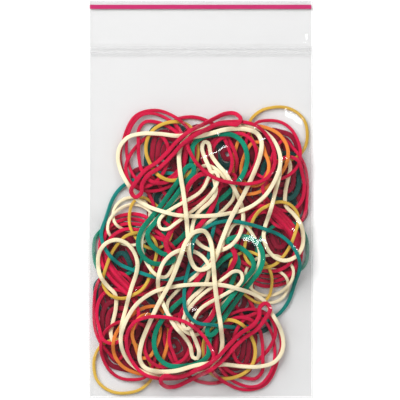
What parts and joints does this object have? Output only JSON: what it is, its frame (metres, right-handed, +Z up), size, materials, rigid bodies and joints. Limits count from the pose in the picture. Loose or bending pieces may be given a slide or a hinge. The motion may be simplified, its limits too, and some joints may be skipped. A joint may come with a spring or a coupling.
{
  "type": "bag of leg bands",
  "caption": "Flat press-seal bag of clear film holding a heap of loose, flat rubber ring bands in assorted colours; its front lip swings up at the mouth.",
  "frame": {"origin": "on the surface it lies on, under the middle of the bag", "axes": "+X across the bag, +Y along it towards the mouth, +Z up through the heap of bands"},
  "size_m": [0.1, 0.1764, 0.0118],
  "materials": {
    "clear_film": "thin clear film, glossy, faintly hazy",
    "welded_film": "fused film bead, slightly frosted",
    "zip_profile": "moulded clear profile, satin",
    "stripe_ink": "printed ink, satin",
    "red_rubber": "cut rubber, satin with a dusty bloom",
    "cream_rubber": "cut rubber, satin with a dusty bloom",
    "yellow_rubber": "cut rubber, satin with a dusty bloom",
    "orange_rubber": "cut rubber, satin with a dusty bloom",
    "green_rubber": "cut rubber, satin with a dusty bloom"
  },
  "bodies": {
    "bag": {"back_film": "clear_film", "front_film": "clear_film", "edge_welds": "welded_film", "zip_rib": "zip_profile", "cream_band_a_lower": "cream_rubber", "cream_band_a_upper": "cream_rubber", "cream_band_b_lower": "cream_rubber", "cream_band_b_upper": "cream_rubber", "cream_band_c_lower": "cream_rubber", "cream_band_c_upper": "cream_rubber", "cream_band_d_lower": "cream_rubber", "cream_band_d_upper": "cream_rubber", "cream_band_e_lower": "cream_rubber", "cream_band_e_upper": "cream_rubber", "cream_band_f_lower": "cream_rubber", "cream_band_f_upper": "cream_rubber", "cream_band_g_lower": "cream_rubber", "cream_band_g_upper": "cream_rubber", "green_band_a_lower": "green_rubber", "green_band_a_upper": "green_rubber", "green_band_b_lower": "green_rubber", "green_band_b_upper": "green_rubber", "green_band_c_lower": "green_rubber", "green_band_c_upper": "green_rubber", "green_band_d_lower": "green_rubber", "green_band_d_upper": "green_rubber", "orange_band_a_lower": "orange_rubber", "orange_band_a_upper": "orange_rubber", "red_band_a_lower": "red_rubber", "red_band_a_upper": "red_rubber", "red_band_b_lower": "red_rubber", "red_band_b_upper": "red_rubber", "red_band_c_lower": "red_rubber", "red_band_c_upper": "red_rubber", "red_band_d_lower": "red_rubber", "red_band_d_upper": "red_rubber", "red_band_e_lower": "red_rubber", "red_band_e_upper": "red_rubber", "red_band_g_lower": "red_rubber", "red_band_g_upper": "red_rubber", "red_band_h_lower": "red_rubber", "red_band_h_upper": "red_rubber", "red_band_j_lower": "red_rubber", "red_band_j_upper": "red_rubber", "red_band_k_lower": "red_rubber", "red_band_k_upper": "red_rubber", "red_band_n_lower": "red_rubber", "red_band_n_upper": "red_rubber", "yellow_band_a_lower": "yellow_rubber", "yellow_band_a_upper": "yellow_rubber", "yellow_band_b_lower": "yellow_rubber", "yellow_band_b_upper": "yellow_rubber", "yellow_band_c_lower": "yellow_rubber", "yellow_band_c_upper": "yellow_rubber", "yellow_band_d_lower": "yellow_rubber", "yellow_band_d_upper": "yellow_rubber"},
    "lip": {"front_lip_film": "clear_film", "zip_channel": "zip_profile", "opening_stripe": "stripe_ink"}
  },
  "joints": [
    {"name": "mouth_hinge", "type": "hinge", "parent": "bag", "child": "lip", "pos_m": [0, 0.046, 0.006], "axis": [1, 0, 0], "range_deg": [0, 35]}
  ]
}
